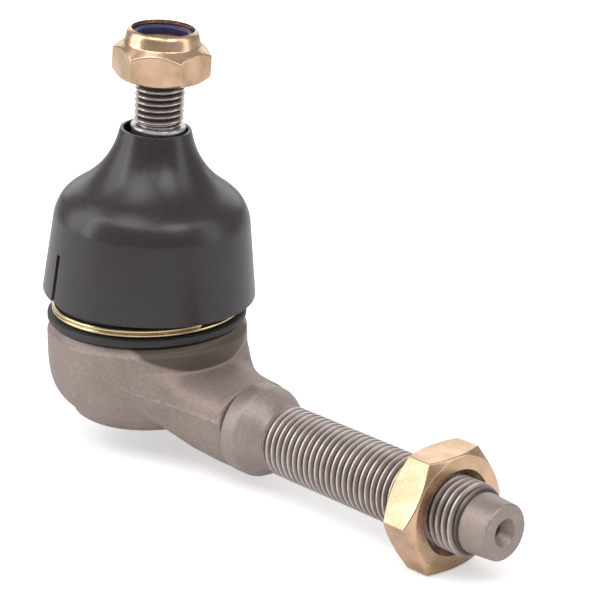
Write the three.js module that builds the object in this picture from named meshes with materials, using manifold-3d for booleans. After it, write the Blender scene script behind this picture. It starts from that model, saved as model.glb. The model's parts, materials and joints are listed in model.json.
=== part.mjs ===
// Outer tie rod end: forged socket with a threaded shank, ball stud in sprung plastic seats,
// rubber dust boot with two retaining rings, loose protective cap, lock nut and jam nut.
// Millimetres, +Z up along the socket's axis, +X along the shank.
// The origin is the centre of the end cover's flat face, under the ball.
import * as THREE from 'three';
import { mergeVertices } from 'three/addons/utils/BufferGeometryUtils.js';
import Module from 'manifold-3d';

const wasm = await Module();
wasm.setup();

// ---- driving dimensions ----
const clearance = 0.3;          // between pieces that rest on or pass through one another

const ballRadius = 11;
const ballHeight = 15.5;        // ball centre above the end cover's face
const socketRadius = 20.35;
const socketBore = 13.7;
const socketShoulder = 19.3;    // height of the turned shoulder under the boot's bead
const socketTop = 24;
const turnedDepth = 4;          // how far below the shoulder the socket's outside is turned to size
const neckRadius = 16.2;        // turned neck that the boot's bead grips
const mouthGrip = 0.6;          // how far the socket's mouth closes in past the ball
const mouthRadius = ballRadius - mouthGrip;
const mouthFlare = 1.6;
const lipRadius = 13.6;         // inner edge of the lip rolled over the end cover

const coverThickness = 1.8;
const coverRise = 1.0;          // the cover's rim stands this much above its flat centre
const coverFlat = 10.5;         // radius of the flat centre
const springThickness = 0.6;
const springRise = 0.7;
const seatWall = socketBore - clearance;

const shankHeight = 5;          // shank axis above the end cover's face
const armHalfHeight = 8.6;
const armHalfWidth = 9.0;
const armRidge = 0.55;          // how far the flash line stands past the arm's side
const armUnderHollow = 0.06;    // the underside's middle lies this much above its two edges
const collarStart = 31.8;
const collarEnd = 36.2;
const collarRadius = 9.1;
const shankThread = { radius: 6.95, pitch: 1.5, depth: 0.92, start: 41, end: 93 };
const pilotLength = 6.1;
const pilotRadius = 5.75;
const pilotTipRadius = 5.4;
const centreHoleRadius = 2.7;
const centreHoleDepth = 3.2;

const jamNut = { acrossFlats: 22, thickness: 7.4, start: 80, turn: 30 };

const studLean = 4.57;          // degrees that the stud is left leaning
const leanAzimuth = 17.5;       // degrees from the shank, about +Z
const studNeckRadius = 6.2;
const studCollar = { radius: 7.0, start: 16, end: 25.5 };
const taperTop = { radius: 5.3, height: 44.2 };
const shoulderRing = { radius: 5.5, thickness: 1.2 };
const studThread = { radius: 4.9, pitch: 1.25, depth: 0.77 };
const studLength = 60.7;        // ball centre to the end of the thread

const lockNut = {
  acrossFlats: 17, start: 54.7, hexHeight: 6.9, collarHeight: 2.9, collarRadius: 7.1, turn: -18.4,
};
const insert = { outer: 6.2, inner: studThread.radius + clearance, thickness: 1.6 };

const wireRadius = 0.45;        // lower boot ring, wound twice from one wire
const lowerRingRadius = 18.95;
const lowerRingHeight = 22.05;
const upperRingWire = 0.55;
const upperRingRadius = 9.35;
const upperRingHeight = 38.5;
const beadRadius = 20.2;

const capLean = 3.85;           // degrees; the loose cap leans a little less than the stud
const capWall = 0.65;
const capRim = { radius: 21.5, height: 25.5 };
const capShoulder = { radius: 19.1, height: 43.3 };
const capMouth = { radius: 7.0, height: 59.5 };
const capSlit = { azimuth: -103, width: 1.4, height: 9.5 };

const rad = THREE.MathUtils.degToRad;
const facets = 32;

// ---- solids: three.js shapes in, manifold booleans, three.js geometry out ----
function solid(geometry) {
  geometry.deleteAttribute('normal');
  geometry.deleteAttribute('uv');
  const merged = mergeVertices(geometry, 1e-5);
  const index = [];
  for (let i = 0; i < merged.index.count; i += 3) {
    const [a, b, c] = [0, 1, 2].map((k) => merged.index.getX(i + k));
    if (a !== b && b !== c && c !== a) index.push(a, b, c);
  }
  return new wasm.Manifold(new wasm.Mesh({
    numProp: 3,
    vertProperties: new Float32Array(merged.attributes.position.array),
    triVerts: new Uint32Array(index),
  }));
}

function toGeometry(body) {
  const mesh = body.getMesh();
  const geometry = new THREE.BufferGeometry();
  geometry.setAttribute('position', new THREE.BufferAttribute(mesh.vertProperties, 3));
  geometry.setIndex(new THREE.BufferAttribute(mesh.triVerts, 1));
  geometry.computeVertexNormals();
  return geometry;
}

// A turned solid about +Z from [radius, height] points that close on themselves or on the axis,
// listed anticlockwise in the radius-height plane.
function turned(points, segments = facets) {
  const profile = points.map(([r, z]) => new THREE.Vector2(r, z));
  if (points[0][0] > 0) profile.push(profile[0].clone());
  const geometry = new THREE.LatheGeometry(profile, segments);
  geometry.rotateX(Math.PI / 2);
  return solid(geometry);
}

// The same, about +X, with [radius, x] points.
function turnedAlongX(points, segments = facets) {
  return alongX(turned(points, segments));
}

function alongX(body) {
  return body.rotate([0, 90, 0]);
}

function extruded(shape, depth, curveSegments = 12) {
  return solid(new THREE.ExtrudeGeometry(shape, { depth, bevelEnabled: false, curveSegments }));
}

function hexagon(acrossFlats) {
  const corner = acrossFlats / Math.sqrt(3);
  const points = [...Array(6).keys()].map((i) => {
    const angle = rad(60 * i);
    return new THREE.Vector2(corner * Math.cos(angle), corner * Math.sin(angle));
  });
  return new THREE.Shape(points);
}

// A right-hand external thread about +Z. Each row of points follows the helix,
// so the crest is one continuous ridge; the ends are fans to the axis.
function threadedRod({ radius, pitch, depth }, start, end, segments = 12) {
  const rows = [[0, 0], [0.38, 1], [0.56, 1]];          // share of the pitch, share of the depth
  const turns = Math.ceil((end - start) / pitch) + 2;
  const positions = [];
  for (let row = 0; row <= turns * rows.length; row += 1) {
    const [along, raised] = rows[row % rows.length];
    const z = start + pitch * (Math.floor(row / rows.length) + along - 1.5);
    const r = radius - depth * (1 - raised);
    for (let i = 0; i < segments; i += 1) {
      const angle = 2 * Math.PI * i / segments;
      positions.push(r * Math.cos(angle), r * Math.sin(angle), z + pitch * i / segments);
    }
  }
  const last = turns * rows.length;
  const at = (row, i) => (i < segments ? row * segments + i : (row + rows.length) * segments);
  const index = [];
  for (let row = 0; row < last; row += 1) {
    for (let i = 0; i < segments; i += 1) {
      if (i === segments - 1 && row + 1 + rows.length > last) continue;
      index.push(at(row, i), at(row, i + 1), at(row + 1, i + 1));
      index.push(at(row, i), at(row + 1, i + 1), at(row + 1, i));
    }
  }
  const lower = positions.length / 3;
  positions.push(0, 0, start - pitch);
  positions.push(0, 0, end + pitch);
  for (let i = 0; i < segments; i += 1) {
    if (i < segments - 1) {
      index.push(lower, at(0, i + 1), at(0, i));
      index.push(lower + 1, at(last, i), at(last, i + 1));
    }
  }
  // the step where the helix starts, and the one where it ends, run along the seam
  index.push(lower, at(rows.length, 0), at(0, segments - 1));
  for (let row = 0; row < rows.length; row += 1) index.push(lower, at(row, 0), at(row + 1, 0));
  const seam = last - rows.length;
  index.push(lower + 1, at(seam, segments - 1), at(last, 0));
  for (let row = seam; row < last; row += 1) {
    index.push(lower + 1, at(row + 1, segments - 1), at(row, segments - 1));
  }
  const geometry = new THREE.BufferGeometry();
  geometry.setAttribute('position', new THREE.Float32BufferAttribute(positions, 3));
  geometry.setIndex(index);
  return solid(geometry);
}

// ---- housing: forged socket and arm, turned neck, threaded shank ----
function makeHousing() {
  const lipTop = coverRise - clearance;
  const coverBore = lipRadius + 1.9;
  const shoulder = socketTop - 2.4;
  const socket = turned([
    [lipRadius, 0.1], [lipRadius + 0.8, 0.1], [16, 1.6], [18, 3], [19.4, 4.7], [20.1, 7],
    [socketRadius, 10], [socketRadius, socketShoulder - 1.8], [socketRadius - 0.9, socketShoulder - 1],
    [socketRadius - 1, socketShoulder], [neckRadius, socketShoulder + 0.4],
    [neckRadius, socketTop - 1.6], [neckRadius + 0.6, socketTop - 1.2], [neckRadius + 0.6, socketTop - 0.5],
    [neckRadius, socketTop], [mouthRadius + mouthFlare, socketTop], [mouthRadius, shoulder],
    [socketBore, shoulder], [socketBore, coverRise + coverThickness + clearance],
    [coverBore, coverRise + coverThickness + clearance], [coverBore, lipTop], [lipRadius, lipTop],
  ], 40);

  // the arm's section is a flattened octagon with the flash line at mid-height
  const side = armHalfWidth;
  const high = armHalfHeight;
  const armSection = new THREE.Shape([
    [high, -0.42 * side], [high - armUnderHollow, 0], [high, 0.42 * side],
    [0.62 * high, 0.8 * side], [0.08 * high, side],
    [0, side + armRidge], [-0.08 * high, side], [-0.62 * high, 0.8 * side], [-high, 0.42 * side],
    [-high, -0.42 * side], [-0.62 * high, -0.8 * side], [-0.08 * high, -side], [0, -side - armRidge],
    [0.08 * high, -side], [0.62 * high, -0.8 * side],
  ].map(([x, y]) => new THREE.Vector2(x, y)));
  const armRoot = 20;
  const arm = alongX(extruded(armSection, collarStart + 0.5 - armRoot).translate([0, 0, armRoot]));
  // the flare: the arm widens towards the socket at nearly its own height, and rises to the socket's level
  const flareWidths = [[8, 17.5], [11, 16], [14, 14.4], [17, 12.5], [20, 11], [23, 10], [26, 9.3], [29, 8.9]];
  const [flareRoot, flareTip] = [flareWidths[0][0], flareWidths.at(-1)[0]];
  const widthAt = (x) => {
    const i = Math.min(flareWidths.findIndex(([at], k) => k > 0 && x <= at + 1e-3), flareWidths.length - 1);
    const [[x0, w0], [x1, w1]] = [flareWidths[i - 1], flareWidths[i]];
    return w0 + (w1 - w0) * (x - x0) / (x1 - x0);
  };
  const flare = turnedAlongX([
    [0, flareRoot], ...flareWidths.map(([x, width]) => [width, x]), [0, flareTip],
  ], 28).warp((v) => {
    const lift = 4 * (1 - THREE.MathUtils.smoothstep(v[0], 12, 22));
    v[2] = v[2] * armHalfHeight / widthAt(v[0]) + lift;
  });
  const collar = turnedAlongX([
    [0, collarStart - 2], [collarRadius - 1, collarStart - 1], [collarRadius, collarStart],
    [collarRadius, collarEnd], [collarRadius - 0.9, collarEnd + 1.8],
    [shankThread.radius - 0.4, shankThread.start - 0.6],
    [shankThread.radius - shankThread.depth, shankThread.start + 1], [0, shankThread.start + 1],
  ], 28);
  const thread = threadedRod(shankThread, shankThread.start, shankThread.end);
  const chamfer = shankThread.depth + 0.2;
  const threadEnvelope = turned([
    [0, shankThread.start], [shankThread.radius - shankThread.depth, shankThread.start],
    [shankThread.radius + 0.1, shankThread.start + chamfer],
    [shankThread.radius + 0.1, shankThread.end - chamfer],
    [shankThread.radius - chamfer, shankThread.end], [0, shankThread.end],
  ]);
  const shank = alongX(thread.intersect(threadEnvelope));
  const tip = shankThread.end + pilotLength;
  const pilot = turnedAlongX([
    [0, shankThread.end - 1], [pilotRadius, shankThread.end - 1], [pilotRadius, shankThread.end + 0.6],
    [pilotTipRadius, tip - 0.5], [pilotTipRadius - 0.4, tip], [0, tip],
  ], 24);
  const centreHole = turnedAlongX([
    [0, tip - centreHoleDepth - 2], [0.45 * centreHoleRadius, tip - centreHoleDepth - 1.6],
    [0.45 * centreHoleRadius, tip - centreHoleDepth + 0.6], [centreHoleRadius, tip - 0.4],
    [centreHoleRadius, tip + 1], [0, tip + 1],
  ], 16);

  // the arm stays clear of the bore, the mouth and the space above the shoulder
  const bore = turned([[0, -20], [coverBore + 0.3, -20], [coverBore + 0.3, 60], [0, 60]]);
  const turnedFrom = socketShoulder - turnedDepth;
  const outside = turned([
    [socketRadius - 0.2, turnedFrom], [60, turnedFrom], [60, 60], [socketRadius - 0.2, 60],
  ]);
  const above = turned([[0, socketShoulder - 2], [30, socketShoulder - 2], [30, 60], [0, 60]]);
  const aboveShoulder = outside.add(above);
  const underLip = turned([[0, -30], [17.5, -30], [17.5, 0.8], [14.4, 0.1], [0, 0.1]]);
  const forging = arm.add(flare).translate([0, 0, shankHeight]).subtract(bore).subtract(aboveShoulder)
    .subtract(underLip);
  const turnedEnd = collar.add(shank).add(pilot).subtract(centreHole).translate([0, 0, shankHeight]);
  return socket.add(forging).add(turnedEnd);
}

// ---- what the socket holds: end cover, spring, two seats ----
function makeEndCover() {
  const rim = lipRadius + 1.9 - clearance;
  return turned([
    [0, 0], [coverFlat, 0], [coverFlat + 1.2, coverRise], [rim, coverRise],
    [rim, coverRise + coverThickness], [coverFlat + 1.8, coverRise + coverThickness],
    [coverFlat + 0.6, coverThickness], [0, coverThickness],
  ]);
}

function makeSpring() {
  const low = coverThickness + clearance;
  return turned([
    [coverFlat - 0.4, low], [coverFlat - 0.4, low + springThickness],
    [6.2, low + springThickness + springRise], [6.2, low + springRise],
  ]);
}

// Points of the seat's hollow sphere between two heights, from the lower to the higher.
function sphereArc(radius, from, to, steps) {
  return [...Array(steps + 1).keys()].map((i) => {
    const z = from + (to - from) * i / steps;
    return [Math.sqrt(radius * radius - z * z), ballHeight + z];
  });
}

function makeLowerSeat() {
  const bottom = coverThickness + springThickness + springRise + 2 * clearance;
  const hollow = ballRadius + clearance;
  const arc = sphereArc(hollow, -0.86 * hollow, -clearance / 2, 7).reverse();
  return turned([
    [arc[arc.length - 1][0], bottom], [seatWall, bottom], [seatWall, ballHeight - clearance / 2], ...arc,
  ]);
}

function makeUpperSeat() {
  const top = socketTop - 2.4 - clearance;
  const hollow = ballRadius + clearance;
  const arc = sphereArc(hollow, clearance / 2, top - ballHeight, 5).reverse();
  return turned([[seatWall, ballHeight + clearance / 2], [seatWall, top], ...arc]);
}

// ---- ball stud, in its own frame: ball centre at the origin, +Z along the stud ----
function makeBallStud() {
  const neckStart = Math.sqrt(ballRadius ** 2 - studNeckRadius ** 2);
  const ball = [...Array(13).keys()].map((i) => {
    const z = -0.95 * ballRadius + (neckStart + 0.95 * ballRadius) * i / 12;
    return [Math.sqrt(ballRadius ** 2 - z ** 2), z];
  });
  const ringTop = taperTop.height + shoulderRing.thickness;
  const body = turned([
    [0, ball[0][1]], ...ball, [studNeckRadius, neckStart + 2.5], [studCollar.radius, studCollar.start],
    [studCollar.radius, studCollar.end], [taperTop.radius, taperTop.height],
    [shoulderRing.radius, taperTop.height + 0.3], [shoulderRing.radius, ringTop - 0.3],
    [shoulderRing.radius - 0.4, ringTop], [studThread.radius - studThread.depth, ringTop],
    [studThread.radius - studThread.depth, ringTop + 1.5], [0, ringTop + 1.5],
  ], 28);
  const threadStart = ringTop + 0.7;
  const chamfer = studThread.depth + 0.3;
  const envelope = turned([
    [0, threadStart], [studThread.radius - studThread.depth, threadStart],
    [studThread.radius + 0.1, threadStart + chamfer], [studThread.radius + 0.1, studLength - chamfer],
    [studThread.radius - chamfer, studLength], [0, studLength],
  ], 20);
  return body.add(threadedRod(studThread, threadStart, studLength).intersect(envelope));
}

// A hexagonal nut about +Z with both ends chamfered and a countersunk clear bore.
function makeHexBody(acrossFlats, height, bore, turn) {
  const corner = acrossFlats / Math.sqrt(3);
  const cone = (corner - acrossFlats / 2) * 0.62;
  const hex = extruded(hexagon(acrossFlats), height).rotate([0, 0, turn]);
  const barrel = turned([
    [0, 0], [acrossFlats / 2 - 0.3, 0], [corner, cone], [corner, height - cone],
    [acrossFlats / 2 - 0.3, height], [0, height],
  ]);
  const hole = turned([
    [0, -1], [bore + 0.9, -1], [bore + 0.9, 0], [bore, 0.9], [bore, height - 0.9], [bore + 0.9, height],
    [bore + 0.9, height + 1], [0, height + 1],
  ], 24);
  return hex.intersect(barrel).subtract(hole);
}

function makeLockNut() {
  const bore = studThread.radius + clearance;
  const { acrossFlats, hexHeight, collarHeight, collarRadius } = lockNut;
  const hex = makeHexBody(acrossFlats, hexHeight, bore, lockNut.turn);
  const top = hexHeight + collarHeight;
  const pocket = insert.outer + clearance;
  const pocketFloor = top - 0.7 - insert.thickness - 2 * clearance;
  const collar = turned([
    [bore, 0.5 * hexHeight], [collarRadius, 0.5 * hexHeight], [collarRadius, top - 0.9],
    [collarRadius - 0.6, top - 0.1], [pocket - 0.5, top], [pocket - 0.9, top - 0.2],
    [pocket - 0.9, top - 0.5], [pocket, top - 0.7], [pocket, pocketFloor], [bore, pocketFloor],
  ], 24);
  const clearPocket = turned([
    [0, pocketFloor], [pocket, pocketFloor], [pocket, top - 0.7], [0, top - 0.7],
  ], 24);
  return hex.subtract(clearPocket).add(collar);
}

function makeInsert() {
  const top = lockNut.hexHeight + lockNut.collarHeight - 0.7 - clearance;
  return turned([
    [insert.inner, top - insert.thickness], [insert.outer, top - insert.thickness], [insert.outer, top],
    [insert.inner + 0.4, top], [insert.inner, top - 0.3],
  ], 24);
}

function makeJamNut() {
  const { acrossFlats, thickness, turn } = jamNut;
  return alongX(makeHexBody(acrossFlats, thickness, shankThread.radius + clearance, turn));
}

// ---- boot, its rings and the cap ----
function makeBoot() {
  const grip = neckRadius + clearance;
  const groove = lowerRingRadius - wireRadius - clearance;
  const grooveLow = lowerRingHeight - wireRadius - 0.15;
  const grooveHigh = lowerRingHeight + 3 * wireRadius + 0.3;
  const lip = studCollar.radius + clearance;
  const upperGroove = upperRingRadius - upperRingWire - clearance;
  const inside = grip + 0.7;
  const profile = [
    [grip, socketShoulder + 0.9], [beadRadius - 0.5, socketShoulder + 0.3], [beadRadius, socketShoulder + 1],
    [beadRadius - 0.3, grooveLow - 0.1], [groove, grooveLow], [groove, grooveHigh], [19, grooveHigh + 0.2],
    [19.2, 25.3], [18.7, 27.2], [17.2, 29.8], [14.6, 32.6], [11.8, 35], [10.1, 36.6],
    [upperGroove, upperRingHeight - 0.9], [upperGroove, upperRingHeight + 0.9],
    [upperRingRadius + 0.3, upperRingHeight + 1.4], [upperRingRadius, upperRingHeight + 2.4],
    [lip, upperRingHeight + 2.6], [lip, 36.4], [10.4, 34.2], [13.2, 31.6], [15.8, 28.8],
    [inside, 26.6], [inside, socketTop], [inside, socketTop - 1.3], [grip, socketTop - 1.7],
  ];
  // the boot's upper part leans with the stud, its bead stays on the socket
  const low = 25;
  const high = 36;
  const pivot = new THREE.Vector3(0, 0, ballHeight);
  const axis = new THREE.Vector3(-Math.sin(rad(leanAzimuth)), Math.cos(rad(leanAzimuth)), 0);
  const body = turned(profile, 32);
  return body.warp((v) => {
    const share = THREE.MathUtils.smoothstep(v[2], low, high);
    const point = new THREE.Vector3(...v).sub(pivot).applyAxisAngle(axis, rad(studLean) * share).add(pivot);
    [v[0], v[1], v[2]] = point.toArray();
  });
}

function makeWireRing(radius, wire, turns, height) {
  const section = [...Array(8).keys()].map((i) => {
    const angle = 2 * Math.PI * i / 8;
    return [radius + wire * Math.cos(angle), height + wire * Math.sin(angle)];
  });
  const ring = turned(section, 32);
  if (turns === 1) return ring;
  // the second turn lies on the first; both are one wire, joined where they press together
  return ring.add(ring.translate([0, 0, 1.9 * wire]));
}

function makeCap() {
  const outer = [
    [capRim.radius, capRim.height], [capShoulder.radius + 0.4, capShoulder.height - 1.4],
    [capShoulder.radius, capShoulder.height], [18.4, 45.1], [16.6, 46.7], [13.9, 48.4], [11.6, 50.5],
    [9.9, 52.5], [8.6, 54.6], [7.6, 56.7], [capMouth.radius + 0.15, 58.5], [capMouth.radius, capMouth.height],
  ];
  const inner = outer.map(([r, z], i) => {
    const shoulderDrop = i > 1 && i < 8 ? capWall * 0.8 : 0;
    return [r - capWall * (i > 2 && i < 6 ? 0.75 : 1), z - shoulderDrop];
  }).reverse();
  const shell = turned([...outer, ...inner], 40);
  const slit = solid(new THREE.BoxGeometry(12, capSlit.width, capSlit.height + 4));
  const placed = slit.translate([capRim.radius, 0, capRim.height - 4 + (capSlit.height + 4) / 2])
    .rotate([0, 0, capSlit.azimuth]);
  return shell.subtract(placed).translate([0, 0, -ballHeight]);
}

// ---- assembly ----
const finishes = {
  forgedSteel: { color: 0x8c817c, roughness: 0.55, metalness: 0.7 },
  coverSteel: { color: 0x9a9690, roughness: 0.45, metalness: 0.8 },
  springSteel: { color: 0x4c4b4d, roughness: 0.4, metalness: 0.8 },
  seatPlastic: { color: 0xd9d4c4, roughness: 0.5, metalness: 0 },
  groundSteel: { color: 0xa8a9ab, roughness: 0.28, metalness: 0.95 },
  yellowZinc: { color: 0xb08f45, roughness: 0.32, metalness: 0.9 },
  nylon: { color: 0x4e57a0, roughness: 0.45, metalness: 0 },
  bootRubber: { color: 0x1b1b1c, roughness: 0.7, metalness: 0 },
  capPlastic: { color: 0x111214, roughness: 0.28, metalness: 0 },
  brassWire: { color: 0xc2a25c, roughness: 0.25, metalness: 0.95 },
};

const tieRodEnd = new THREE.Group();

function place(parent, name, body, finish) {
  const mesh = new THREE.Mesh(toGeometry(body), new THREE.MeshStandardMaterial(finishes[finish]));
  mesh.name = name;
  parent.add(mesh);
  return mesh;
}

function leaningGroup(degrees) {
  const group = new THREE.Group();
  group.position.set(0, 0, ballHeight);
  const axis = new THREE.Vector3(-Math.sin(rad(leanAzimuth)), Math.cos(rad(leanAzimuth)), 0);
  group.setRotationFromAxisAngle(axis, rad(degrees));
  tieRodEnd.add(group);
  return group;
}

place(tieRodEnd, 'housing', makeHousing(), 'forgedSteel');
place(tieRodEnd, 'end_cover', makeEndCover(), 'coverSteel');
place(tieRodEnd, 'preload_spring', makeSpring(), 'springSteel');
place(tieRodEnd, 'lower_seat', makeLowerSeat(), 'seatPlastic');
place(tieRodEnd, 'upper_seat', makeUpperSeat(), 'seatPlastic');

const studGroup = leaningGroup(studLean);
place(studGroup, 'ball_stud', makeBallStud(), 'groundSteel');
place(studGroup, 'lock_nut', makeLockNut(), 'yellowZinc').position.z = lockNut.start;
place(studGroup, 'lock_nut_insert', makeInsert(), 'nylon').position.z = lockNut.start;
const upperRing = makeWireRing(upperRingRadius, upperRingWire, 1, upperRingHeight - ballHeight);
place(studGroup, 'boot_upper_ring', upperRing, 'springSteel');

place(tieRodEnd, 'dust_boot', makeBoot(), 'bootRubber');
const lowerRing = makeWireRing(lowerRingRadius, wireRadius, 2, lowerRingHeight);
place(tieRodEnd, 'boot_lower_ring', lowerRing, 'brassWire');

const capGroup = leaningGroup(capLean);
place(capGroup, 'protective_cap', makeCap(), 'capPlastic');

const jam = place(tieRodEnd, 'jam_nut', makeJamNut(), 'yellowZinc');
jam.position.set(jamNut.start, 0, shankHeight);

export default tieRodEnd;
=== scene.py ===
"""Outer tie rod end: forged socket and threaded shank, ball stud, dust boot, protective cap, two nuts."""
import json
import math

import bpy
from mathutils import Matrix, Vector


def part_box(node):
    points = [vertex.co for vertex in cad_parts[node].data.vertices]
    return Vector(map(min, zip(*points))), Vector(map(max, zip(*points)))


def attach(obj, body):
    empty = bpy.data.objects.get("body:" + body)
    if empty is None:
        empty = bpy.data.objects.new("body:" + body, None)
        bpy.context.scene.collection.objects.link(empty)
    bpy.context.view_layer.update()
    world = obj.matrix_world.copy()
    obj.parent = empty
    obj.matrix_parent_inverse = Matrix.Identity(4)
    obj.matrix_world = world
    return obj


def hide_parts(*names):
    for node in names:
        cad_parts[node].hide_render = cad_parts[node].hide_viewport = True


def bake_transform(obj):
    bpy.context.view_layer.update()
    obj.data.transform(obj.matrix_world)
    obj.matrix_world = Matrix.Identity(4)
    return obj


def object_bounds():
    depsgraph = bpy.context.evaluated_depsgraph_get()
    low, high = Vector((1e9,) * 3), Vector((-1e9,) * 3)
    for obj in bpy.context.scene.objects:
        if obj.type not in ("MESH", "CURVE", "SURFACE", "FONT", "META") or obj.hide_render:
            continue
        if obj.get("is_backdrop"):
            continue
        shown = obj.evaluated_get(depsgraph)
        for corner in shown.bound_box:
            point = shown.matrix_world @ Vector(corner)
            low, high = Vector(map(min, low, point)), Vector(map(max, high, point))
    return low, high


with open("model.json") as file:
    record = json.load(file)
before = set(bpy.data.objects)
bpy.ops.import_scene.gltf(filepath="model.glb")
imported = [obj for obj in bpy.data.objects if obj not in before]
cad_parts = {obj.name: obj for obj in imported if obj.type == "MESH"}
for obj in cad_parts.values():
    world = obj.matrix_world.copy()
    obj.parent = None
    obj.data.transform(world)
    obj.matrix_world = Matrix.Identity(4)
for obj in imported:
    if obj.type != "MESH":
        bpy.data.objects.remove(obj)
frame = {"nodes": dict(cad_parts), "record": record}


# ---- Camera, table and studio ----
# The part stands on its socket on a white table, seen from above the shank's side with a long lens.
# Soft boxes, two strips and a darker room give the metal its bright and dark bands.
cad_low, cad_high = (list(map(float, corner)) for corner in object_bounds())
table_gap = 0.0002

camera_data = bpy.data.cameras.new("camera")
camera = bpy.data.objects.new("camera", camera_data)
bpy.context.collection.objects.link(camera)
bpy.context.scene.camera = camera
camera_data.lens = 143.6
camera_azimuth, camera_elevation, camera_roll = math.radians(47.09), math.radians(19.67), math.radians(0.1)
camera.location = (0.35632, -0.28880, 0.18641)
camera.rotation_euler = (
    Matrix.Rotation(camera_azimuth, 3, "Z") @ Matrix.Rotation(math.pi / 2 - camera_elevation, 3, "X")
    @ Matrix.Rotation(camera_roll, 3, "Z")).to_euler()


def area_lamp(name, azimuth, elevation, distance, size, brightness):
    """A rectangular soft box that faces the part's middle; brightness is that of its face."""
    lamp = bpy.data.objects.new(name, bpy.data.lights.new(name, "AREA"))
    bpy.context.collection.objects.link(lamp)
    lamp.data.shape = "RECTANGLE"
    lamp.data.size, lamp.data.size_y = size
    lamp.data.energy = brightness * math.pi * size[0] * size[1]
    turn = math.radians(azimuth)
    rise = math.radians(elevation)
    middle = Vector((0.03, 0.0, 0.03))
    away = Vector((math.sin(turn) * math.cos(rise), -math.cos(turn) * math.cos(rise), math.sin(rise)))
    lamp.location = middle + away * distance
    lamp.rotation_euler = away.to_track_quat("Z", "Y").to_euler()
    return lamp


area_lamp("soft_box_left", -52, 28, 0.80, (0.34, 0.80), 1.8)
area_lamp("strip_left", -30, 28, 0.80, (0.13, 0.80), 4.6)
area_lamp("soft_box_right", 128, 25, 0.80, (0.30, 0.80), 1.5)
area_lamp("soft_box_over", 12, 62, 0.90, (0.50, 0.50), 2.8)
area_lamp("soft_box_high_right", 88, 50, 0.90, (0.40, 0.40), 3.6)
area_lamp("backdrop", 227, 22, 1.00, (1.30, 0.60), 1.1)
area_lamp("lamp_front", 52, 48, 1.10, (0.07, 0.07), 26)

world = bpy.data.worlds.new("studio")
bpy.context.scene.world = world
world.use_nodes = True
world_nodes, world_links = world.node_tree.nodes, world.node_tree.links
world_nodes.clear()
room = world_nodes.new("ShaderNodeBackground")
room.inputs["Color"].default_value = (0.88, 0.86, 0.86, 1)
room.inputs["Strength"].default_value = 0.43
white_room = world_nodes.new("ShaderNodeBackground")
white_room.inputs["Color"].default_value = (1, 1, 1, 1)
white_room.inputs["Strength"].default_value = 1.0
seen = world_nodes.new("ShaderNodeLightPath")
choose = world_nodes.new("ShaderNodeMixShader")
world_out = world_nodes.new("ShaderNodeOutputWorld")
world_links.new(seen.outputs["Is Camera Ray"], choose.inputs["Fac"])
world_links.new(room.outputs["Background"], choose.inputs[1])
world_links.new(white_room.outputs["Background"], choose.inputs[2])
world_links.new(choose.outputs["Shader"], world_out.inputs["Surface"])

bpy.ops.object.select_all(action="DESELECT")
bpy.ops.mesh.primitive_plane_add(size=8, location=(0, 0, cad_low[2] - table_gap))
table = bpy.context.active_object
table.name = "table"
table_material = bpy.data.materials.new("white_table")
table_material.use_nodes = True
table_nodes, table_links = table_material.node_tree.nodes, table_material.node_tree.links
table_surface = table_nodes["Principled BSDF"]
table_surface.inputs["Base Color"].default_value = (0.90, 0.90, 0.90, 1)
table_surface.inputs["Roughness"].default_value = 0.7
table_glow = table_nodes.new("ShaderNodeEmission")
table_glow.inputs["Strength"].default_value = 0.42
table_path = table_nodes.new("ShaderNodeLightPath")
table_dark = table_nodes.new("ShaderNodeEmission")
table_dark.inputs["Strength"].default_value = 0.0
table_choose = table_nodes.new("ShaderNodeMixShader")
table_sum = table_nodes.new("ShaderNodeAddShader")
table_links.new(table_path.outputs["Is Camera Ray"], table_choose.inputs["Fac"])
table_links.new(table_dark.outputs["Emission"], table_choose.inputs[1])
table_links.new(table_glow.outputs["Emission"], table_choose.inputs[2])
table_links.new(table_surface.outputs["BSDF"], table_sum.inputs[0])
table_links.new(table_choose.outputs["Shader"], table_sum.inputs[1])
table_links.new(table_sum.outputs["Shader"], table_nodes["Material Output"].inputs["Surface"])
table.data.materials.append(table_material)
table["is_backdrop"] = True


# ---- Housing forging ----
# The socket and the arm are one steel forging, shot-blasted and oiled, with a rough flash line where the
# dies met. The socket is turned at the top for the boot and bored for the ball; a lip is rolled over the
# end cover.
MM = 0.001


def deselect():
    if bpy.context.mode != "OBJECT":
        bpy.ops.object.mode_set(mode="OBJECT")
    bpy.ops.object.select_all(action="DESELECT")


def activate(piece):
    deselect()
    piece.select_set(True)
    bpy.context.view_layer.objects.active = piece


def new_mesh(name, vertices, edges=(), faces=()):
    mesh = bpy.data.meshes.new(name)
    mesh.from_pydata([tuple(v) for v in vertices], edges, faces)
    piece = bpy.data.objects.new(name, mesh)
    bpy.context.collection.objects.link(piece)
    activate(piece)
    return piece


def rounded(points, closed, steps=4):
    """The outline with each corner that gives a third number, its rounding, replaced by a small curve."""
    outline = []
    for i, point in enumerate(points):
        here = Vector(point[:2])
        size = point[2] if len(point) > 2 else 0.0
        inner = closed or 0 < i < len(points) - 1
        if not size or not inner:
            outline.append(here)
            continue
        before, after = Vector(points[i - 1][:2]), Vector(points[(i + 1) % len(points)][:2])
        start = here + (before - here).normalized() * min(size, (before - here).length * 0.49)
        end = here + (after - here).normalized() * min(size, (after - here).length * 0.49)
        for k in range(steps + 1):
            t = k / steps
            outline.append(start * (1 - t) ** 2 + here * 2 * t * (1 - t) + end * t * t)
    return outline


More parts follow.
